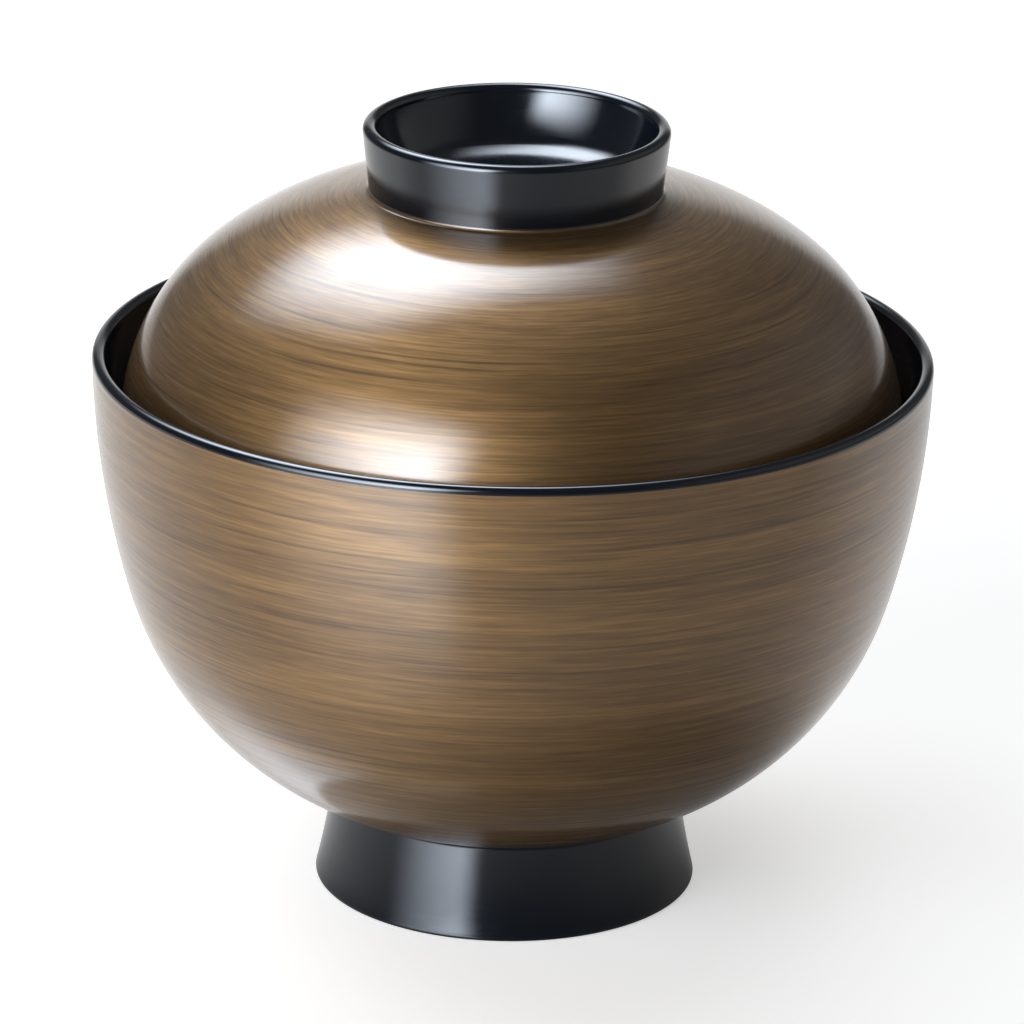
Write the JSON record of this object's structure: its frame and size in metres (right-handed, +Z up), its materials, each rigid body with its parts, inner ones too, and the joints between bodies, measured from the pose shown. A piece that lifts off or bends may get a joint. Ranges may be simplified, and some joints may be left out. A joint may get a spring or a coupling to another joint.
{
  "type": "lidded bowl",
  "caption": "Round soup bowl on a flared foot, with a lift-off domed lid that sits inside the rim and carries a hollow ring grip.",
  "frame": {"origin": "centre of the foot's ring on the surface that the bowl stands on", "axes": "+Z up along the turning axis of bowl and lid; X and Y are any two directions across it"},
  "size_m": [0.114, 0.114, 0.1079],
  "materials": {
    "bowl": "brown coat brushed around the axis under clear gloss, over black gloss resin that shows at the lip, inside and foot",
    "lid": "brown coat brushed around the axis under clear gloss, over black gloss resin that shows at the ring grip and inside"
  },
  "bodies": {
    "bowl": {"bowl": "bowl"},
    "lid": {"lid": "lid"}
  },
  "joints": [
    {"name": "lid_lift", "type": "slide", "parent": "bowl", "child": "lid", "axis": [0, 0, 1], "range_m": [0, 0.09]}
  ]
}
